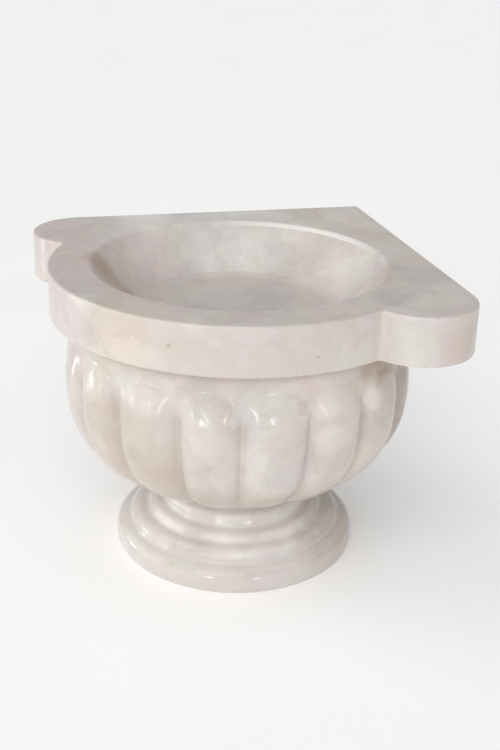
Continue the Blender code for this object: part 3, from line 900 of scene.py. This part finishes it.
def pin_steel():
    """Drawn stainless bar with fine lines along its length."""
    g = Graph("drawn_steel")
    lines = g.noise(g.vector("MULTIPLY", g.place, STEEL_DRAW), *STEEL_NOISE)
    colour = g.mix(g.span(lines, *MIDDLE), *STEEL_TINTS)
    rough = g.span(lines, *MIDDLE, *STEEL_POLISH)
    grain = g.bump(lines, STEEL_LINES)
    return g.finish(Base_Color=colour, Roughness=rough, Metallic=1.0, Normal=grain)


def studio_floor():
    """A wide, pale floor that glows a little, as a backlit product table does."""
    bpy.ops.mesh.primitive_circle_add(
        vertices=STAGE_SIDES, radius=STAGE_RADIUS, fill_type="NGON", location=(0.0, 0.0, 0.0)
    )
    floor = bpy.context.object
    floor.name = "studio_floor"
    g = Graph("pale_floor")
    colour = g.mix(g.span(g.noise(g.place, *STAGE_NOISE), *MIDDLE), *STAGE_TINTS)
    glow = {"Emission_Color": WHITE_LIGHT, "Emission_Strength": STAGE_GLOW}
    floor.data.materials.append(g.finish(Base_Color=colour, Roughness=STAGE_ROUGHNESS, **glow))


def direction(azimuth_deg, elevation_deg):
    """A vector of length 1 towards a place in the studio."""
    azimuth, elevation = math.radians(azimuth_deg), math.radians(elevation_deg)
    level = math.cos(elevation)
    return Vector((level * math.cos(azimuth), level * math.sin(azimuth), math.sin(elevation)))


def soft_sky():
    """An even studio dome."""
    world = bpy.data.worlds.new("studio")
    bpy.context.scene.world = world
    world.use_nodes = True
    back = world.node_tree.nodes["Background"]
    back.inputs["Color"].default_value = WHITE_LIGHT
    back.inputs["Strength"].default_value = SKY_STRENGTH


def soft_sun(name, azimuth_deg, elevation_deg, strength):
    """Broad light from one side, as from a large softbox."""
    lamp = bpy.data.lights.new(name, "SUN")
    lamp.energy = strength
    lamp.angle = math.radians(SUN_ANGLE_DEG)
    sun = bpy.data.objects.new(name, lamp)
    sun.rotation_euler = direction(azimuth_deg, elevation_deg).to_track_quat("Z", "Y").to_euler()
    bpy.context.scene.collection.objects.link(sun)


def low_window(name, azimuth_deg, power, distance, height, size):
    """A small bright panel low down beside the stone, for the points of light on the polish."""
    lamp = bpy.data.lights.new(name, "AREA")
    lamp.shape = "SQUARE"
    lamp.size = size
    lamp.energy = power
    panel = bpy.data.objects.new(name, lamp)
    panel.location = direction(azimuth_deg, 0.0) * distance + Vector((0.0, 0.0, height))
    panel.rotation_euler = direction(azimuth_deg, 0.0).to_track_quat("Z", "Y").to_euler()
    bpy.context.scene.collection.objects.link(panel)


def photo_camera():
    """The camera at the photograph's viewing angle."""
    azimuth, elevation = math.radians(CAMERA_AZIMUTH_DEG), math.radians(CAMERA_ELEVATION_DEG)
    level = math.cos(elevation)
    back = Vector((math.sin(azimuth) * level, -math.cos(azimuth) * level, math.sin(elevation)))
    right = Vector((math.cos(azimuth), math.sin(azimuth), 0.0))
    up = back.cross(right)
    c, s = math.cos(math.radians(CAMERA_ROLL_DEG)), math.sin(math.radians(CAMERA_ROLL_DEG))
    camera = bpy.data.objects.new("photo_camera", bpy.data.cameras.new("photo_camera"))
    camera.data.sensor_width = CAMERA_SENSOR
    camera.data.lens = CAMERA_LENS
    turn = Matrix((c * right + s * up, c * up - s * right, back)).transposed().to_4x4()
    camera.matrix_world = Matrix.Translation(Vector(CAMERA_TARGET) + back * CAMERA_DISTANCE) @ turn
    bpy.context.scene.collection.objects.link(camera)
    bpy.context.scene.camera = camera


def dress(piece, node, material):
    """Gives a piece its material and puts it in place of a solid."""
    piece.data.materials.append(material)
    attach(piece, "root")
    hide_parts(node)


def stones():
    """The three stones, each in place of its solid, and the pointing between slab and bowl."""
    slab_look = marble(
        "slab_marble_look",
        SLAB_PATCHES + BASIN_PATCHES,
        SLAB_POLISH,
        specks=SLAB_SPECKS,
        wear_and_light=slab_lip_highlight,
    )
    bowl_look = marble(
        "bowl_marble_look",
        BOWL_PATCHES + BASIN_PATCHES,
        BOWL_POLISH,
        wear_and_light=bowl_shade_and_wear,
    )
    foot_look = marble(
        "foot_marble_look",
        FOOT_PATCHES,
        FOOT_POLISH,
        offset=FOOT_OFFSET,
        wear_and_light=foot_painted_light,
    )
    dress(slab_piece(), "corner_slab", slab_look)
    dress(bowl_piece(), "lobed_bowl", bowl_look)
    dress(foot_piece(), "foot", foot_look)
    pointing = pointing_piece()
    pointing.data.materials.append(marble("pointing_look", BASIN_PATCHES, SLAB_POLISH))
    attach(pointing, "root")


def beds_and_pins():
    """Better materials for the solids that stay."""
    bedding, steel = adhesive(), pin_steel()
    for name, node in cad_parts.items():
        if name.endswith("_bed") or "_dowel_" in name:
            node.data.materials.clear()
            node.data.materials.append(bedding if name.endswith("_bed") else steel)


def main():
    """The camera, the pieces, the floor and the light."""
    bpy.context.scene.view_settings.view_transform = "Standard"
    photo_camera()
    stones()
    beds_and_pins()
    studio_floor()
    soft_sky()
    for sun in SUNS:
        soft_sun(*sun)
    for window in WINDOWS:
        low_window(*window)


main()
